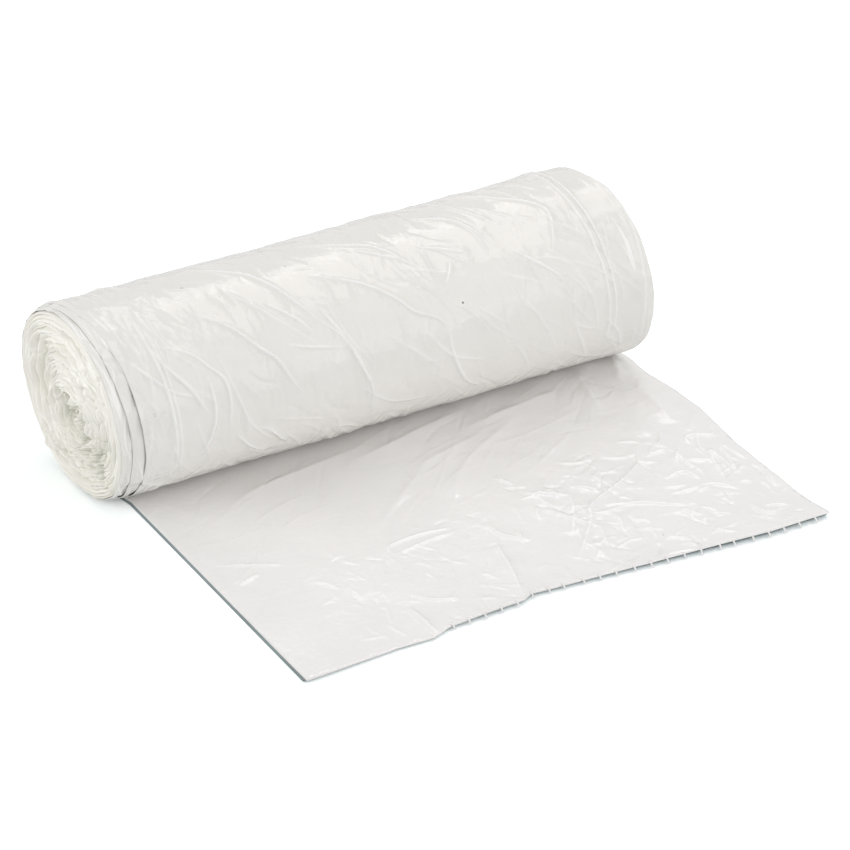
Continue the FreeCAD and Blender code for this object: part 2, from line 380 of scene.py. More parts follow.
RING_CREASES = [
    ([(-109, 20), (-108, 30), (-105.5, 60), (-102, 120)], 1.1, 0.8),
    ([(-107, 22), (-105.8, 30), (-103.2, 60), (-99.8, 120)], 0.7, 0.6),
    ([(107, -60), (107, 0), (109, 40), (111, 75), (113, 120)], 1.3, 0.8),
    ([(110, -60), (110.5, 0), (112.5, 40), (114.5, 75), (116, 120)], 1.1, 0.6),
    ([(131, -90), (130.5, 0), (130.5, 60), (131, 120)], 0.7, 0.8),
    ([(126, -60), (127.5, 10), (128, 40), (127.5, 80)], 0.4, 0.7),
]


SWELL_RISE, FACET_RISE, WAVE_RISE = 0.20, 0.10, 0.09
LONG_RISE, LONG_WIDTH = 2.6, 0.6
STEEP_SIDE = 0.45
UNDER_BACK, UNDER_FRONT, BEHIND = -178 * DEGREE, 178 * DEGREE, -45 * DEGREE
WHOLE_WRAP = ((-120, UNDER_BACK), (128, UNDER_FRONT))
BACK_OF_WRAP = ((-110, UNDER_BACK), (115, BEHIND))
LEFT_RINGS = ((-121, UNDER_BACK), (-99, UNDER_FRONT))
SMALL_CREASES = [
    (WHOLE_WRAP, 360, (52, 14), (14, 48), (0.12, 0.62), (0.7, 2.0), 31),
    (WHOLE_WRAP, 420, (90, 12), (8, 24), (0.1, 0.34), (0.5, 1.1), 32),
    (WHOLE_WRAP, 160, (35, 30), (5, 14), (0.1, 0.3), (0.5, 1.6), 35),
    (BACK_OF_WRAP, 34, (50, 12), (40, 90), (0.4, 0.8), (2.5, 4.5), 33),
    (LEFT_RINGS, 110, (85, 12), (8, 26), (0.12, 0.5), (0.4, 1.2), 36),
]


def wrap_relief(x, arc):
    """Heights of the outermost wrap over a grid of places along the roll and around it."""
    height = SWELL_RISE * swell(x, arc, 40, 11)
    for size, seed in ((16, 21), (9, 22)):
        height += FACET_RISE * facets(x, arc, size, seed)
    # Low on the front, left of the middle, the film stands in faint waves across the roll.
    low = np.exp(-(((arc / DEGREE - 88) / 34) ** 4))
    height += WAVE_RISE * low * np.exp(-(((x + 25) / 55) ** 4)) * swell(x, 0.12 * arc, 3.4, 23, 14)
    relief = unmarked(height)
    for points, rise, wide in LONG_CREASES:
        line = [(px, turn * DEGREE) for px, turn in points]
        draw_crease(relief, x, arc, line, LONG_RISE * rise, LONG_WIDTH * wide, STEEP_SIDE, 0.3)
    for points, rise, wide in RING_CREASES:
        line = [(px, turn * DEGREE) for px, turn in points]
        draw_crease(relief, x, arc, line, rise, wide, STEEP_SIDE, 0.25)
    for scatter in SMALL_CREASES:
        draw_scatter(relief, x, arc, *scatter)
    return relief


print(len(LONG_CREASES), "long and", len(RING_CREASES), "ring creases,",
      sum(row[1] for row in SMALL_CREASES), "small ones")

# %% [markdown]
# Near each end the wraps have telescoped: each sleeve of web is the same width but has slid
# a few millimetres further left or right than the one inside it. The edges lie flat on the
# wrap beneath and stand up a little here and there, which draws the thin dark lines of the
# stepped rings at the left end. Free edges could be simulated, but they hardly move, so two
# helpers are enough: one lays the film on what is under it, and one ruffles its free edge.

# %% How a wrap lies
SETTLE = 1.5
BAG_THICKNESS = 1.2
BAG_MEETS_ROLL = 4
EDGE_REACH = 6.0
RUFFLE_RISE = 0.45
RUFFLES = [(2.6, 0.7, 0.5, 45), (5.2, 0.9, 0.4, 30)]


def settle(y, z, lift):
    """Lays whatever would sink through the floor, or through the leading bag in front, on it."""
    front = np.clip((BAG_MEETS_ROLL - y) / (2 * BAG_MEETS_ROLL), 0, 1)
    lowest = lift + BAG_THICKNESS * front
    above = z - lowest - SETTLE
    return np.where(above < 0, lowest + SETTLE * np.exp(np.minimum(above, 0) / SETTLE), z)


def ruffle(reach, turn, seed):
    """Creases that run along the free edge of a wrap, and a lip at the edge itself.

    RUFFLES has, for each crease, its place and width, its mean height and how far it varies along.
    """
    arc = turn * ROLL_RADIUS
    wavy = reach + 0.8 * swell(arc, 0 * arc, 30, seed)
    high = np.zeros(reach.shape)
    for number, (place, width, mean, size) in enumerate(RUFFLES, 1):
        varied = mean + 0.5 * swell(arc, 0 * arc, size, seed + number)
        high += np.exp(-np.abs(wavy - place) / width) * varied
    high += np.exp(-reach / 0.9) * np.clip(swell(arc, 0 * arc, 22, seed + 3), -0.2, 1)
    return RUFFLE_RISE * high * (reach < 3 * EDGE_REACH)


print("film settles softly over the last", SETTLE, "mm above the floor or the bag")

# %% [markdown]
# A wrap is one turn of the web: a sleeve with a folded edge at each end, laid flat where it
# meets the floor. Cylinders would be quicker, but the sleeves lean, slide and carry the relief,
# so one function places every point from its reach along the web and its turn round the roll.
# The inner wraps sink under the outer one away from their edges, where nobody sees them.

# %% The outermost wrap
WRAP_STEP = 0.7
WRAP_THICKNESS = 0.4
DEEPEST = -0.5
HIGHEST = (1.9, 0.7, 0.7)
BACK_SINK = 0.7
FOLD_DROP, FOLD_WIDTH = 0.35, 0.6
INNER_SINK = 1.2
INNER_SLOPE = 3
EDGE_WANDER, WANDER_LENGTH = 0.35, 26
FLOOR_GAP = 0.1
BACK_PLACES = np.array([WEB_WIDTH - 0.3, 200, 54, 0.3])


def wrap_sleeve(name, index, across, turns, relief, seed):
    """One wrap of the web as a thin closed sleeve between its two folded edges."""
    radius = ROLL_RADIUS - index * WRAP_STEP
    reach, turn = np.meshgrid(np.concatenate([across, BACK_PLACES]), turns)
    outside = np.arange(reach.shape[1])[None, :] < len(across)
    y, z = around(radius, turn)
    wander = EDGE_WANDER * swell(turn * ROLL_RADIUS, 0 * turn, WANDER_LENGTH, seed)
    x = edge_x(WRAP_SLIDES[index], y, z) + wander + reach
    height, pale = relief(x, turn * ROLL_RADIUS)
    height += ruffle(reach, turn, seed + 1) + ruffle(WEB_WIDTH - reach, turn, seed + 5)
    height = np.clip(height, DEEPEST, HIGHEST[index])
    last = len(across) - 1
    height[:, last + 1], height[:, -1] = height[:, last], height[:, 0]
    height[:, last + 2:-1] = -BACK_SINK
    height -= WRAP_THICKNESS * ~outside
    inset = np.minimum(reach, WEB_WIDTH - reach)
    height -= FOLD_DROP * (1 - np.clip(inset / FOLD_WIDTH, 0, 1)) ** 2 * outside
    if index > 0:
        sink = INNER_SINK + WRAP_STEP * index
        height -= sink * np.clip((inset - EDGE_REACH) / INNER_SLOPE, 0, 1)
    y, z = around(radius + height, turn)
    z = settle(y, z, (index + ~outside) * FLOOR_GAP)
    return film_piece(name, [tube(np.stack([x, y, z], -1), ring=True)], pale=pale * outside)


wrap_turns = np.radians(steps((-179.5, -38, 1.4), (-38, 124, 0.5), (124, 179, 1.6)))
wrap_across = steps((0, WEB_WIDTH, 0.42))
outer_wrap = wrap_sleeve("outer_wrap", 0, wrap_across, wrap_turns, wrap_relief, 41)

# %% [markdown]
# The two wraps beneath show only as rings a few millimetres wide at the ends. They are full
# sleeves all the same, so that the rings look right from every side, but their grid is fine
# only near the edges, and their creases run along the edges as the photograph shows.

# %% The two wraps beneath
def plain_relief(x, arc):
    """The creases of a wrap that shows only at its edges, mostly running along them."""
    relief = unmarked(0.18 * facets(x, arc, 9, 51))
    for edge in (-126, 128):
        zone = ((edge - 8, -180 * DEGREE), (edge + 8, 180 * DEGREE))
        draw_scatter(relief, x, arc, zone, 120, (86, 9), (8, 34), (0.25, 0.9), (0.4, 1.1), 52)
    return relief


even_turns = np.radians(steps((-179.5, 179.4, 1.0)))
edge_across = steps((0, 14, 0.4), (14, 22, 2), (22, 232, 12), (232, 240, 2), (240, WEB_WIDTH, 0.4))
second_wrap = wrap_sleeve("second_wrap", 1, edge_across, even_turns, plain_relief, 141)
third_wrap = wrap_sleeve("third_wrap", 2, edge_across, even_turns, plain_relief, 241)

# %% [markdown]
# The open ends show the edges of all the turns at once: a spiral of folded edges, some
# standing out and some fallen in, round a collapsed eye where a spindle was pulled out.
# Hundreds of separate ribbons would be slow and would never touch neatly. One surface that
# is combed into a spiral ridge, each turn at its own depth, gives the same picture, and it
# can be pushed in and out freely. Turns vary one by one and in bundles, and their folded
# edges wander a little. They lie calmer towards the rim, where the wraps hold them.

# %% Spiral ends
INNER_RADIUS = ROLL_RADIUS - len(WRAP_SLIDES) * WRAP_STEP
TURN_PITCH = 1.45
PITCH_SPREAD = (0.45, 1.6)
MOST_TURNS = 60
POINTS_ROUND = 620
RIDGE, RIDGE_SHARPNESS = 1.5, 1.8
EYE_PULL = 1.3
CLUMPS = 12
BUNDLE = 4
TURN_STEP, BUNDLE_STEP, WANDER = 0.45, 0.6, 0.5
CALM_FROM, CALM_OVER = 0.88, 0.08
LIP, LIP_WIDTH = 0.3, 0.03
END_DEPTH = 24.0


def turn_depths(count, turn, seed):
    """A depth for each turn of the web that changes smoothly on the way round."""
    rng = np.random.default_rng(seed)
    knots = rng.normal(0, 1, (count.max() + 2, CLUMPS))
    knots = 0.6 * knots + 0.4 * np.roll(knots, 1, axis=0)
    place = turn / (2 * np.pi) * CLUMPS
    low = np.floor(place).astype(int)
    blend = 0.5 - 0.5 * np.cos(np.pi * (place - low))
    row = np.clip(count, 0, len(knots) - 1)
    return knots[row, low % CLUMPS] * (1 - blend) + knots[row, (low + 1) % CLUMPS] * blend


def end_turns(name, side, seed, profile, eye):
    """The spiral of turn edges that fills one end: side is -1 for the left end, 1 for the right."""
    ring, turn = np.meshgrid(
        steps((1.0, INNER_RADIUS, 0.17)),
        np.linspace(0, 2 * np.pi, int(POINTS_ROUND / FINE), endpoint=False),
        indexing="ij",
    )
    share = ring / INNER_RADIUS
    slack = (1 - share) ** EYE_PULL
    front, up = -around(ring, turn)[0], ring * np.cos(turn)
    front, up = front + eye[0] * slack, up + eye[1] * slack
    shift = 0.8 * swell(front, up, 24, seed + 1) + 0.3 * facets(front, up, 10, seed + 2)
    widths = TURN_PITCH * np.random.default_rng(seed).uniform(*PITCH_SPREAD, MOST_TURNS)
    place = ring + shift * np.clip((1 - share) * 8, 0, 1)
    wound = np.interp(place, np.cumsum(widths) - 4, np.arange(MOST_TURNS)) - turn / (2 * np.pi)
    count = np.floor(wound).astype(int)
    part = wound - count
    depth = RIDGE * np.abs(2 * part - 1) ** RIDGE_SHARPNESS
    fallen = profile(front, up, share, turn)
    loose = TURN_STEP * turn_depths(count, turn, seed)
    loose += BUNDLE_STEP * turn_depths(count // BUNDLE, turn, seed + 7)
    loose += WANDER * swell(ring, 6 * np.sin(turn), 2.6, seed + 3, 12)
    loose += WANDER * swell(ring, 6 * np.cos(turn), 1.8, seed + 4, 12)
    depth += fallen + loose * (1 - 0.75 * np.clip((share - CALM_FROM) / CALM_OVER, 0, 1))
    depth += LIP * np.clip((share - 0.97) / LIP_WIDTH, 0, 1) ** 2
    # Painted shade: the valleys between the turns and the places that have fallen in are coloured
    # darker and greener.
    deep = 0.5 * np.abs(2 * part - 1) ** 5 + 0.14 * np.clip(fallen - 1.5, 0, 4)
    y, z = -front, AXIS_HEIGHT + up
    x = edge_x(INNER_SLIDE, y, z) - side * depth + (WEB_WIDTH if side > 0 else 0)
    face = np.stack([x, y, settle(y, z, 0.4)], -1)
    rim = face[-1:].copy()
    rim[..., 0] = side * (WEB_WIDTH / 2 - END_DEPTH)
    return film_piece(name, [tube(np.concatenate([face, rim]))], deep=np.vstack([deep, deep[-1:]]))


print("turns fill", round(INNER_RADIUS, 2), "mm from the middle, about", TURN_PITCH, "mm each")

# %% [markdown]
# The left end is the one in the photograph. Its outer turns stand out behind, a valley runs
# inside them, a mound rises over the eye, and at the lower front the turns have fallen in. These
# forms are added up from smooth hills. Pockets and hard creases are then drawn on them with
# the same crease function that serves the roll, in millimetres to the front and up.

# %% Left end
def hill(front, up, place, size, lean=0.0):
    """A smooth hill of height 1 at place; lean turns its long side, in degrees."""
    c, s = math.cos(math.radians(lean)), math.sin(math.radians(lean))
    a, b = front - place[0], up - place[1]
    return np.exp(-(((a * c + b * s) / size[0]) ** 2) - ((b * c - a * s) / size[1]) ** 2)


def turn_from(turn, degrees):
    """How far turn is from an angle, in degrees, the short way round."""
    return np.abs((np.degrees(turn) - degrees + 180) % 360 - 180)


LEFT_END_POCKETS = [
    ([(1, 3), (6, -3), (7, -10), (4, -16), (-3, -19)], 6.5, 2.4),
    ([(-19, -5), (-14, -3), (-9, -4)], 6.0, 1.8),
    ([(-17, -13), (-12, -11), (-8, -13)], 5.0, 1.5),
    ([(-31, 10), (-28, 16), (-23, 22)], 3.0, 1.8),
    ([(-26, -8), (-24, -2), (-25, 4)], 3.0, 1.6),
    ([(12, -28), (18, -25), (22, -20)], 4.0, 1.6),
]
LEFT_END_CREASES = [
    ([(-5, 13), (-3, 10), (3, 10), (8, 9)], 3.0),
    ([(-4, 0), (-3, -3), (-1, -6)], 2.6),
    ([(-12, -13), (-8, -9), (-4, -13)], 2.2),
    ([(-2, -17), (0, -19), (0, -23)], 3.0),
    ([(5, -21), (10, -22), (16, -18), (20, -12)], 2.6),
    ([(-20, 20), (-14, 21), (-6, 21)], 2.0),
    ([(-20, -28), (-10, -30), (0, -30)], 1.8),
    ([(-10, -33), (-6, -32)], 2.2),
    ([(7, -33), (16, -30), (24, -22)], 2.6),
    ([(12, 20), (14, 15), (15, 9)], 2.0),
    ([(18, 27), (24, 22), (27, 16)], 2.2),
    ([(-22, 31), (-10, 33), (6, 34)], 1.8),
    ([(-18, 26), (-6, 27), (10, 26)], 1.6),
]
STRAND_FALL = 1.3
LEFT_END_SCATTER = [
    (((-30, -34), (30, 36)), 90, (0, 90), (4, 12), (0.5, 1.6), (0.4, 1.0), 161),
    (((-20, -34), (28, -12)), 60, (0, 25), (6, 18), (0.8, 2.4), (0.4, 1.2), 162),
]


def left_profile(front, up, share, turn):
    """How far each part of the left end has fallen in: rim, valley, mound, pockets and eye.

    share is how far out a point lies, from 0 in the middle to 1 at the rim. What stands out is
    negative, and every form has its own depth in millimetres, place and width.
    """
    back = np.exp(-((turn_from(turn, -62) / 62) ** 4))
    behind = np.exp(-((turn_from(turn, -98) / 95) ** 6))
    rim = -3.9 * behind * np.clip((share - 0.73) / 0.13, 0, 1) ** 0.7
    valley = 2.2 * back * np.exp(-(((share - 0.68) / 0.09) ** 2))
    mound = -3.4 * hill(front, up, (-2, 15), (20, 13))
    mound -= 1.8 * hill(front, up, (-16, 24), (9, 6), 40)
    bowl = np.hypot((front + 5) / 15, (up + 8) / 12)
    eye = 3.6 * np.exp(-(bowl**6)) - 1.2 * np.exp(-(((bowl - 1.1) / 0.16) ** 2))
    core = -2.6 * hill(front, up, (-12, -7), (4, 2.6), 25)
    core -= 2.2 * hill(front, up, (-3, -10), (2.2, 5), -20)
    low_front = np.exp(-((turn_from(turn, 112) / 58) ** 4))
    fallen = 2.8 * low_front * np.exp(-(((share - 0.66) / 0.22) ** 2))
    depth = rim + valley + mound + eye + core + fallen
    relief = unmarked(depth)
    for points, fall, wide in LEFT_END_POCKETS:
        draw_crease(relief, front, up, points, fall, wide, wide, 0.8 * wide)
    for points, fall in LEFT_END_CREASES:
        draw_crease(relief, front, up, points, STRAND_FALL * fall, 0.9, 0.5, 0.2)
    for scatter in LEFT_END_SCATTER:
        draw_scatter(relief, front, up, *scatter)
    return depth


left_end_turns = end_turns("left_end_turns", -1, 61, left_profile, (-5, -10))

# %% [markdown]
# The right end isn't in the photograph. A roll is wound from one web, so it gets the same
# spiral and a collapsed eye in about the same place, but it has fallen in more evenly.

# %% Right end
def right_profile(front, up, share, turn):
    """The right end has fallen in more evenly, round the same collapsed eye."""
    rim = -2.0 * np.clip((share - 0.82) / 0.05, 0, 1)
    low = np.exp(-((turn_from(turn, 140) / 90) ** 2))
    dish = 2.2 * np.exp(-(((share - 0.62) / 0.12) ** 2)) * low
    mound = -2.2 * hill(front, up, (3, 10), (14, 11)) + 3.0 * hill(front, up, (-4, -6), (10, 8))
    depth = rim + dish + mound
    relief = unmarked(depth)
    draw_crease(relief, front, up, [(-14, -4), (-8, -1), (0, -4)], 2.6, 1.1, 0.8, 0.4)
    draw_crease(relief, front, up, [(2, 2), (6, -5), (3, -12)], 3.0, 1.3, 0.8, 0.4)
    box = ((-30, -30), (30, 34))
    draw_scatter(relief, front, up, box, 60, (0, 90), (3, 10), (0.3, 1.0), (0.5, 1.4), 171)
    return depth


right_end_turns = end_turns("right_end_turns", 1, 71, right_profile, (-4, -8))

# %% [markdown]
# The first bag of the web has been pulled off the roll and lies on the floor. It is a stack
# of loose plies, and it shows every way that film creases: broad pull folds fan out from the
# roll, the right side is crumpled into facets, and two pleats catch the torn front edge. A
# simulated sheet would come out rounder, so these folds are drawn too. Places are given as
# the distance along the roll and the distance out in front of its axis.

# %% Folds of the leading bag
BAG_LENGTH = 173.0
BAG_SLIDE = 12.8
BAG_LEFT = WEB_LEFT + BAG_SLIDE
BAG_RIGHT = BAG_LEFT + WEB_WIDTH
BAG_START = -11.0
NECK = 22.0
FRONT_DRAW = [
    (0, 0), (44, 2), (60, 1.2), (69, 4.3), (106, 5.6), (111, 8.4), (119, 7.6), (224, -2), (254, -2),
]
SIDE_DRAW = [(0, 0), (23, 1), (63, 1.8), (98, -1.2), (118, 0.3), (133, 2.8), (151, 2.8)]
PULL_FOLDS = [
    ([(50, 25), (0, 38), (-20, 40)], 1.1, 6.0),
    ([(0, 31), (-60, 39), (-92, 55)], 1.0, 5.5),
    ([(98, 32), (40, 40)], 1.1, 6.0),
    ([(50, 45), (0, 60)], 0.9, 6.0),
    ([(70, 40), (30, 62), (5, 85)], 1.0, 7.0),
    ([(20, 50), (-20, 80), (-35, 92)], 0.8, 6.0),
    ([(100, 60), (110, 20)], 1.8, 5.0),
    ([(118, 20), (119, 35), (127, 47)], -2.2, 2.2),
    ([(130, 20), (123, 40)], 1.8, 3.0),
    ([(126, 50), (124, 80)], 1.1, 3.5),
    ([(138, 77), (125, 90)], 1.0, 3.0),
]
SHARP_CREASES = [
    ([(122, 93), (137, 89), (133, 97), (120, 100)], 0.8, 2.0),
    ([(124, 108), (131, 107), (135, 123), (125, 126), (116, 135)], 0.8, 2.0),
    ([(99, 97), (108, 98), (111, 112)], 0.7, 2.0),
    ([(94, 117), (105, 116), (108, 125)], 0.7, 2.0),
    ([(35, 98), (52, 108)], 0.6, 2.2),
    ([(35, 112), (50, 136)], 0.6, 2.2),
    ([(60, 122), (75, 128), (95, 142)], 0.6, 2.2),
    ([(115, 150), (118, 162), (130, 161)], 0.8, 1.8),
    ([(120, 155), (131, 161)], 0.6, 1.6),
    ([(80, 167), (90, 163), (105, 161)], 0.4, 1.5),
    ([(118, 171), (130, 168)], 0.4, 1.2),
    ([(-107, 82), (-82, 95)], 0.45, 2.2),
    ([(-105, 100), (-93, 96)], 0.45, 1.8),
    ([(-38, 112), (-36, 105), (-20, 103), (-5, 105)], 0.5, 1.6),
    ([(-38, 112), (-20, 109), (-5, 108)], 0.45, 1.6),
    ([(8, 110), (10, 120), (18, 130)], 0.5, 2.0),
    ([(-52, 148), (-52, 170)], 1.1, 2.0),
    ([(-47, 140), (-40, 148), (-30, 152)], 0.45, 1.6),
    ([(5, 122), (0, 142), (-7, 164)], 0.8, 2.6),
]
BRIGHT_CREASES = [
    ([(97, 90), (92, 100), (76, 110), (55, 120), (48, 130), (28, 152)], 1.5, 3.2),
    ([(52, 108), (46, 120), (35, 136)], 0.8, 2.2),
    ([(128, 92), (122, 104), (124, 116)], 0.8, 2.0),
]
SHARP_RISE = 1.4
BAG_SWELL, BROAD_FACETS, FINE_FACETS = 0.3, 0.24, 0.08
BAG_SCATTER = [
    (((30, 85), (138, 170)), 130, (35, 60), (6, 20), (0.2, 0.8), (0.6, 2.0), 91),
    (((-80, 95), (40, 168)), 70, (60, 50), (6, 18), (0.08, 0.3), (0.6, 1.6), 92),
    (((-110, 24), (130, 90)), 80, (150, 18), (15, 60), (0.08, 0.36), (1.2, 3.5), 93),
]


def bag_relief(x, out):
    """Heights of the leading bag's top ply above where it would lie flat."""
    height = BAG_SWELL * (1 + swell(x, out, 60, 81))
    loose = np.clip((x + 60) / 150, 0.25, 1)
    height += loose * (BROAD_FACETS * facets(x, out, 15, 82) + FINE_FACETS * facets(x, out, 6, 83))
    for points, rise, wide in PULL_FOLDS:
        draw_crease(unmarked(height), x, out, points, rise, wide, 2.0, 0.8)
    relief = unmarked(height)
    for points, rise, wide in SHARP_CREASES:
        draw_crease(relief, x, out, sorted(points), SHARP_RISE * rise, wide, 0.5, 0.25)
    for points, rise, wide in BRIGHT_CREASES:
        draw_crease(relief, x, out, points, rise, wide, 0.6, 0.4)
    for scatter in BAG_SCATTER:
        draw_scatter(relief, x, out, *scatter)
    return relief


print(len(PULL_FOLDS), "pull folds and", len(SHARP_CREASES) + len(BRIGHT_CREASES), "sharp creases")

# %% [markdown]
# The sheet is laid out on a grid that follows its drawn-in edges, so that the pleats and the
# bulge on the right are in its outline. It starts under the roll, where the web comes down
# from behind, and its torn edge stands a little off the floor. A plane cut to shape would
# need its edge trimmed again after every change, while a grid of shares keeps it clean.

# %% The leading bag
BAG_LEVEL, TOP_PLY = 0.6, 0.35
EDGE_LIFT = 1.9
LIFTED = 26
FREE_FROM, FREE_OVER = 12, 16


def bag_place(along, across, spread=0.0, short=0.0):
    """Place (x, out) of shares along and across the bag, within its drawn-in edges."""
    front_x, front_draw = zip(*FRONT_DRAW)
    side_out, side_draw = zip(*SIDE_DRAW)
    length = BAG_LENGTH - short - np.interp(across * WEB_WIDTH, front_x, front_draw)
    out = BAG_START + along * (length - BAG_START)
    neck = np.clip((NECK - out) / NECK, 0, 1.5)
    left = BAG_LEFT - spread - 5.0 * neck
    right = BAG_RIGHT - np.interp(BAG_LENGTH - out, side_out, side_draw) - 3.0 * neck
    return left + across * (right - left), out


def bag_ply(name, along, across, level, thickness, relief, spread=0.0, short=0.0, lift=EDGE_LIFT):
    """One ply of the leading bag: a thin sheet at level, its front edge lifted."""
    share, run = np.meshgrid(np.concatenate([across, across[::-2]]), along)
    top = np.arange(share.shape[1])[None, :] < len(across)
    x, out = bag_place(run, share, spread, short)
    free = np.clip((out - FREE_FROM) / FREE_OVER, 0, 1)
    height, pale = relief(x, out)
    rise = free * height
    rise = np.where(top, rise, np.minimum(rise, 0))
    edge = lift * np.clip((out - (BAG_LENGTH - LIFTED)) / LIFTED, 0, 1) ** 2
    edge = edge * np.clip((x + 60) / 30, 0.25, 1)
    z = level + np.maximum(rise + edge, -level * 0.6) + np.where(top, thickness, 0)
    return film_piece(name, [tube(np.stack([x, -out, z], -1), outside=len(across))], pale=pale * top)


bag_along = steps((0, 1, 0.003))
bag_across = np.linspace(0, 1, 2 * int(228 / FINE) + 1)
leading_bag = bag_ply("leading_bag", bag_along, bag_across, BAG_LEVEL, TOP_PLY, bag_relief)

# %% [markdown]
# A bag is several plies of film, and under its lifted edge the lower ones show as a fine dark
# line, because hardly any light gets between them. A shadow alone is too faint there, so three
# flat plies lie under the top one, each a little lower, shorter and less lifted than the last,
# and their film is painted dark, as painted shade.

# %% Lower plies of the leading bag
LEAF_LEVEL, LEAF_DROP = 0.45, 0.14
LEAF_PLY = 0.12
LEAF_SPREAD = 0.3
LEAF_SHORT, LEAF_STEP = 0.4, 0.5


def flat_relief(x, out):
    """A ply that lies flat."""
    return unmarked(np.zeros(x.shape))


def bag_leaf(number):
    """One of the plies under the leading bag's top one, counted downwards."""
    return bag_ply(
        f"bag_leaf_{number}", np.linspace(0, 1, 60), np.linspace(0, 1, 101),
        LEAF_LEVEL - LEAF_DROP * number, LEAF_PLY, flat_relief,
        LEAF_SPREAD * number, LEAF_SHORT + LEAF_STEP * number, EDGE_LIFT - LEAF_STEP * number,
    )


leaves = [bag_leaf(number) for number in (1, 2, 3)]

# %% [markdown]
# The bag was torn off along a line of perforations. The uncut ties between the slots are
# left as small white teeth, and they show along the lifted part of the edge. They are too
# small for the grid of the sheet, so each is a short tube of its own, drawn out and curled down.

# %% Torn ties
TIE_PITCH = 8.0
TIE_WIDTH = 1.0
TIE_LENGTH = 1.5
TIE_START = 70.0
TIE_ROOT = 0.6
TIE_TOP, TIE_CURL = 2.75, 2.2
TIE_PROFILE = ((-0.5, 0), (0.5, 0), (0.5, 0.25), (0, 0.34), (-0.5, 0.25))


def edge_ties():
    """Short slanting teeth that hang from the torn front edge, drawn out and curled down."""
    rng = np.random.default_rng(95)
    teeth = []
    for place in np.arange(TIE_START, WEB_WIDTH - 4, TIE_PITCH):
        share = (place + rng.uniform(-0.8, 0.8)) / WEB_WIDTH
        x, out = (float(v) for v in bag_place(np.array(1.0), np.array(share)))
        slant, long = rng.uniform(0.2, 0.6), TIE_LENGTH * rng.uniform(0.8, 1.2)
        loops = []
        for step in np.linspace(0, 1, 6):
            wide = TIE_WIDTH * (1 - 0.45 * step)
            middle = x + slant * step * long
            ahead = out - TIE_ROOT + step * (long + TIE_ROOT)
            level = TIE_TOP - TIE_CURL * step**2
            loops.append([(middle + wide * a, -ahead, level + b) for a, b in TIE_PROFILE])
        teeth.append(tube(np.array(loops)))
    return film_piece("edge_ties", teeth)


ties = edge_ties()

# %% [markdown]
# The film is natural white polyethylene, milky and glossy. The plies scatter light between
# them, so a little subsurface scattering gives the soft creamy ends. It is never one flat
# colour: it is cloudy and it catches specks of dirt, and on top of that a painted highlight,
# paler, lies along the crests of creases, and painted shade, greener and darker, lies deep
# between the turns of the ends and where they have fallen in. Each of these is a colour mixed
# over the last one. The crinkles that are too fine for the mesh are a bump of distorted cells,
# like the facets of crumpled film.

# %% Film material
FILM_GLOSS_INDEX = 1.5
SCATTER_REACH = (1.0, 0.95, 0.8)
SCATTER_SCALE = 0.0015
CLOUD_SCALE, CLOUD_DETAIL = 45, 4
CLOUD_FROM, CLOUD_TO = 0.3, 0.7
SPECK_CORE = 0.55
CRINKLE_CELLS = 330
BEND_SCALE, BEND = 160, 0.006
# A painted highlight colour for crease crests and a painted shade colour for the recesses of the ends.
HIGHLIGHT_WHITE, RECESS_SHADE = (0.99, 0.985, 0.975), (0.58, 0.59, 0.49)


def mixed_over(nodes, links, shade, amount, colour):
    """The colour from the socket shade, turned into colour where amount is 1."""
    mix = nodes.new("ShaderNodeMixRGB")
    mix.inputs["Color2"].default_value = (*colour, 1)
    links.new(amount, mix.inputs["Fac"])
    links.new(shade, mix.inputs["Color1"])
    return mix.outputs["Color"]


def clouds(nodes, links, place, colour, dim):
    """A colour that drifts in clouds from dim to colour."""
    cloud = nodes.new("ShaderNodeTexNoise")
    cloud.inputs["Scale"].default_value = CLOUD_SCALE
    cloud.inputs["Detail"].default_value = CLOUD_DETAIL
    tint = nodes.new("ShaderNodeValToRGB")
    tint.color_ramp.elements[0].position = CLOUD_FROM
    tint.color_ramp.elements[0].color = (*dim, 1)
    tint.color_ramp.elements[1].position = CLOUD_TO
    tint.color_ramp.elements[1].color = (*colour, 1)
    links.new(place, cloud.inputs["Vector"])
    links.new(cloud.outputs["Fac"], tint.inputs["Fac"])
    return tint.outputs["Color"]


def speck(nodes, links, place, middle, radius):
    """How much of a round speck covers each point, from 0 at radius to 1 at its core."""
    gap = nodes.new("ShaderNodeVectorMath")
    gap.operation = "DISTANCE"
    gap.inputs[1].default_value = Vector(middle) * MM
    fade = nodes.new("ShaderNodeMapRange")
    fade.inputs["From Min"].default_value = radius * MM
    fade.inputs["From Max"].default_value = SPECK_CORE * radius * MM
    links.new(place, gap.inputs[0])
    links.new(gap.outputs["Value"], fade.inputs["Value"])
    return fade.outputs["Result"]


def crinkles(nodes, links, place, rise):
    """A bump of bent cells that rise by rise, in metres."""
    bend = nodes.new("ShaderNodeTexNoise")
    bend.inputs["Scale"].default_value = BEND_SCALE
    stretch = nodes.new("ShaderNodeVectorMath")
    stretch.operation = "MULTIPLY_ADD"
    stretch.inputs[1].default_value = (BEND, BEND, BEND)
    cells = nodes.new("ShaderNodeTexVoronoi")
    cells.inputs["Scale"].default_value = CRINKLE_CELLS
    bump = nodes.new("ShaderNodeBump")
    bump.inputs["Strength"].default_value = 1.0
    bump.inputs["Distance"].default_value = rise
    links.new(place, bend.inputs["Vector"])
    links.new(bend.outputs["Color"], stretch.inputs[0])
    links.new(place, stretch.inputs[2])
    links.new(stretch.outputs["Vector"], cells.inputs["Vector"])
    links.new(cells.outputs["Distance"], bump.inputs["Height"])
    return bump.outputs["Normal"]


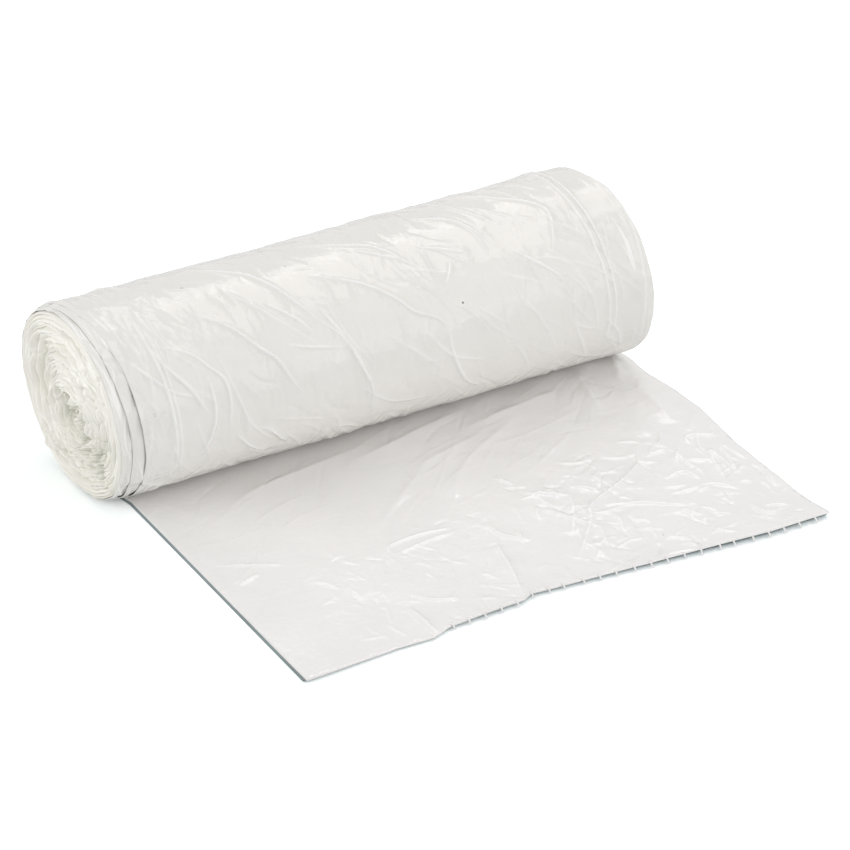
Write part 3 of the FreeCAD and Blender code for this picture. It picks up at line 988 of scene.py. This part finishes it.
def film_material(name, colour, dim, roughness, scatter, crinkle, specks=()):
    """Milky film whose colour drifts slightly towards dim, with crinkles of the given height.

    specks are small marks of dirt in the film: place and radius in millimetres, and a colour.
    """
    material = bpy.data.materials.new(name)
    material.use_nodes = True
    nodes, links = material.node_tree.nodes, material.node_tree.links
    shader = nodes["Principled BSDF"]
    shader.inputs["Roughness"].default_value = roughness
    shader.inputs["IOR"].default_value = FILM_GLOSS_INDEX
    shader.inputs["Subsurface Weight"].default_value = scatter
    shader.inputs["Subsurface Radius"].default_value = SCATTER_REACH
    shader.inputs["Subsurface Scale"].default_value = SCATTER_SCALE
    place = nodes.new("ShaderNodeTexCoord").outputs["Object"]
    shade = clouds(nodes, links, place, colour, dim)
    for middle, radius, stain in specks:
        shade = mixed_over(nodes, links, shade, speck(nodes, links, place, middle, radius), stain)
    # The marks paint a highlight along crease crests and shade into the recesses of the ends.
    for mark, tone in (("pale", HIGHLIGHT_WHITE), ("deep", RECESS_SHADE)):
        amount = nodes.new("ShaderNodeAttribute")
        amount.attribute_name = mark
        shade = mixed_over(nodes, links, shade, amount.outputs["Fac"], tone)
    links.new(shade, shader.inputs["Base Color"])
    links.new(crinkles(nodes, links, place, crinkle), shader.inputs["Normal"])
    print(name, "has", len(nodes), "nodes")
    return material


# %% [markdown]
# Four films cover the object. The skin of the roll is a little greyer than the leading bag,
# because fewer loose plies lie under it. The ends are rougher and creamier, since their folded
# edges scatter more light, and the lower plies are painted dark, as painted shade, because
# light hardly reaches them.
# The skin has one dark speck in a pale ring, where a grain of dirt lies under it.

# %% The four films
def on_roll(x, degrees):
    """A place on the roll's surface."""
    y, z = around(ROLL_RADIUS + 0.3, math.radians(degrees))
    return x, y, z


RING, GRAIN, FAINT = (0.86, 0.845, 0.82), (0.22, 0.24, 0.23), (0.58, 0.57, 0.55)
ROLL_SPECKS = [
    (on_roll(39, 60), 2.0, RING),
    (on_roll(39, 60), 0.75, GRAIN),
    (on_roll(-79, 4), 0.9, FAINT),
    (on_roll(-31, 8), 0.8, FAINT),
]
BAG_SPECKS = [((69, -154, 1.3), 0.7, FAINT)]
SKIN = (0.85, 0.831, 0.797), (0.825, 0.808, 0.772)
BAG = (0.905, 0.888, 0.88), (0.885, 0.872, 0.86)
# Painted shade: this dark colour on the lower plies stands for the shade between them.
SHADED = (0.30, 0.36, 0.37), (0.25, 0.30, 0.31)
TURNS = (0.96, 0.935, 0.89), (0.93, 0.91, 0.85)
GLOSSY, SATIN = 0.14, 0.3
MILKY, CREAMY, DULL = 0.05, 0.06, 0.0
FINE_CRINKLE, COARSE_CRINKLE = 0.0001, 0.0002
skin_film = film_material("skin_film", *SKIN, GLOSSY, MILKY, FINE_CRINKLE, ROLL_SPECKS)
bag_film = film_material("bag_film", *BAG, GLOSSY, MILKY, FINE_CRINKLE, BAG_SPECKS)
shaded_film = film_material("shaded_film", *SHADED, SATIN, DULL, FINE_CRINKLE)
end_film = film_material("end_film", *TURNS, SATIN, CREAMY, COARSE_CRINKLE)
FILMS = [
    (skin_film, (outer_wrap, second_wrap, third_wrap)),
    (bag_film, (leading_bag, ties)),
    (shaded_film, leaves),
    (end_film, (left_end_turns, right_end_turns)),
]
for film, pieces in FILMS:
    for piece in pieces:
        piece.data.materials.append(film)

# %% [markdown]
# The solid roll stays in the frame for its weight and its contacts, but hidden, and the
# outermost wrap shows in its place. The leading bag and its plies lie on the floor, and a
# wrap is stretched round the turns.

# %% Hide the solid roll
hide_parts("bag_roll")

# %% [markdown]
# The picture was taken on white under large soft lamps. A strip softbox overhead draws the
# pale band along the roll's upper front, and a narrow panel behind draws a second, fainter one.
# A large lamp from the front right and one from the left light the front and the open end, and
# a weak low one reaches the corner between the roll and the bag. They are area lamps, because
# the gloss of film shows the shape of each lamp.

# %% Lamps
AT_ROLL = (0, 0, 0.03)
WHITE = (1, 1, 1)
LAMPS = [
    ("top_strip", (0.54, 0.085, 1.1), (0, 0, 0.04), (1.2, 0.36), 2.5, (1, 0.965, 0.94)),
    ("back_panel", (0.72, 0.76, 1.19), (0, 0, 0), (1.0, 0.24), 1.4, (1, 0.98, 0.97)),
    ("front_fill", (0.55, -1.35, 1.0), AT_ROLL, (1.8, 1.3), 5.3, WHITE),
    ("front_low", (0.2, -1.6, 0.3), AT_ROLL, (1.8, 0.5), 2.5, WHITE),
    ("left_fill", (-1.6, 0.3, 0.65), AT_ROLL, (1.0, 1.0), 9.6, WHITE),
]


def area_light(name, place, aim, size, energy, colour):
    """A rectangular soft lamp at place, turned towards aim."""
    lamp = bpy.data.lights.new(name, "AREA")
    lamp.shape = "RECTANGLE"
    lamp.size, lamp.size_y = size
    lamp.energy = energy
    lamp.color = colour
    holder = bpy.data.objects.new(name, lamp)
    bpy.context.scene.collection.objects.link(holder)
    holder.location = place
    holder.rotation_euler = (Vector(aim) - Vector(place)).to_track_quat("-Z", "Y").to_euler()


for lamp in LAMPS:
    area_light(*lamp)
print(len(LAMPS), "lamps,", round(sum(lamp[4] for lamp in LAMPS), 1), "W in all")

# %% [markdown]
# The rest of the studio is even light from all round. The camera and the gloss should see
# plain white walls, but at that strength they would flood the film, so the light that falls
# on the surfaces is weaker than the white that is seen.

# %% Even light
WORLD_LEVEL = 0.57


def white_world(level):
    """Even light of one level for the surfaces, and plain white for the camera and for gloss."""
    world = bpy.context.scene.world or bpy.data.worlds.new("studio")
    bpy.context.scene.world = world
    world.use_nodes = True
    nodes, links = world.node_tree.nodes, world.node_tree.links
    background = nodes["Background"]
    rays = nodes.new("ShaderNodeLightPath")
    seen = rays.outputs["Is Camera Ray"]
    for kind in ("Is Glossy Ray", "Is Transmission Ray"):
        either = nodes.new("ShaderNodeMath")
        either.operation = "MAXIMUM"
        links.new(seen, either.inputs[0])
        links.new(rays.outputs[kind], either.inputs[1])
        seen = either.outputs[0]
    strength = nodes.new("ShaderNodeMapRange")
    strength.inputs["To Min"].default_value = level
    strength.inputs["To Max"].default_value = 1.0
    links.new(seen, strength.inputs["Value"])
    links.new(strength.outputs["Result"], background.inputs["Strength"])
    background.inputs["Color"].default_value = (1, 1, 1, 1)


white_world(WORLD_LEVEL)
print("even light", WORLD_LEVEL, "of white")

# %% [markdown]
# The floor has to come out white and still keep the shadow of the roll. A colour of plain
# white would look grey under these lamps, so the camera sees a brighter one, whose shadows
# turn slightly green, while the light that bounces up to the film comes from a pale grey.

# %% White floor
FLOOR_SIZE = 8
FLOOR_LIT, FLOOR_ROUGHNESS = (0.88, 0.90, 0.90), 0.9
FLOOR_SEEN = (1.31, 1.36, 1.37)


def white_floor():
    """A pale floor that renders white but keeps the object's shadow."""
    bpy.ops.mesh.primitive_plane_add(size=FLOOR_SIZE, location=(0, 0, 0))
    plane = bpy.context.object
    plane.name = "floor"
    material = bpy.data.materials.new("floor_white")
    material.use_nodes = True
    nodes, links = material.node_tree.nodes, material.node_tree.links
    shader = nodes["Principled BSDF"]
    shader.inputs["Base Color"].default_value = (*FLOOR_LIT, 1)
    shader.inputs["Roughness"].default_value = FLOOR_ROUGHNESS
    shader.inputs["Specular IOR Level"].default_value = 0.0
    bright = nodes.new("ShaderNodeBsdfDiffuse")
    bright.inputs["Color"].default_value = (*FLOOR_SEEN, 1)
    rays = nodes.new("ShaderNodeLightPath")
    mix = nodes.new("ShaderNodeMixShader")
    links.new(rays.outputs["Is Camera Ray"], mix.inputs["Fac"])
    links.new(shader.outputs[0], mix.inputs[1])
    links.new(bright.outputs[0], mix.inputs[2])
    links.new(mix.outputs[0], nodes["Material Output"].inputs["Surface"])
    plane.data.materials.append(material)
    return plane


floor = white_floor()
bpy.context.scene.view_settings.view_transform = "Standard"
print("floor", tuple(round(side, 2) for side in floor.dimensions), "m")
